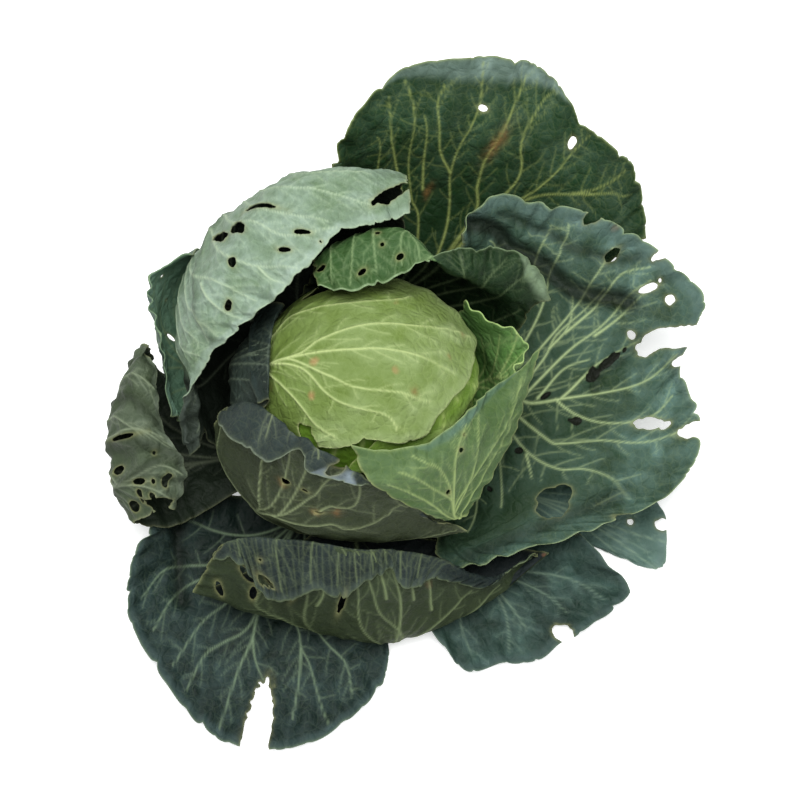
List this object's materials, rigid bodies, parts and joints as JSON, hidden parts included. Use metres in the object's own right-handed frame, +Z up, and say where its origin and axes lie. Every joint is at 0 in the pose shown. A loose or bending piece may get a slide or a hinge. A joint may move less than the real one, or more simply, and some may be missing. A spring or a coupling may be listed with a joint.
{
  "type": "cabbage head",
  "caption": "Green cabbage head with its loose, insect-eaten outer leaves still on the cut stump, resting flat with the heart up.",
  "frame": {"origin": "centre of the stump's cut face, which lies flat on the surface", "axes": "+Z up along the stump to the heart; +Y towards the tall leaf at the back of the picture's view, +X towards the broad leaf at its right"},
  "size_m": [0.462, 0.5, 0.2139],
  "materials": {
    "stump": "fibrous pale green, dried brown at the knife cut",
    "heart_leaf": "pale yellow-green with light veins, satin",
    "wrap_leaf": "mid green with pale veins and a thin waxy bloom",
    "outer_leaf": "dark blue-green with pale veins and a grey waxy bloom"
  },
  "bodies": {
    "root": {"stem": "stump", "heart": "heart_leaf", "heart_leaf": "heart_leaf", "cap_leaf": "heart_leaf", "right_inner_leaf": "wrap_leaf", "left_inner_leaf": "wrap_leaf", "front_wrap_leaf": "wrap_leaf", "right_wrap_leaf": "wrap_leaf", "back_curl_leaf": "wrap_leaf", "left_curl_leaf": "outer_leaf", "right_leaf": "outer_leaf", "front_cup_leaf": "outer_leaf", "left_stand_leaf": "outer_leaf", "left_eaten_leaf": "outer_leaf", "back_leaf": "outer_leaf", "front_right_leaf": "outer_leaf", "right_low_leaf": "outer_leaf", "front_left_leaf": "outer_leaf"}
  },
  "joints": []
}
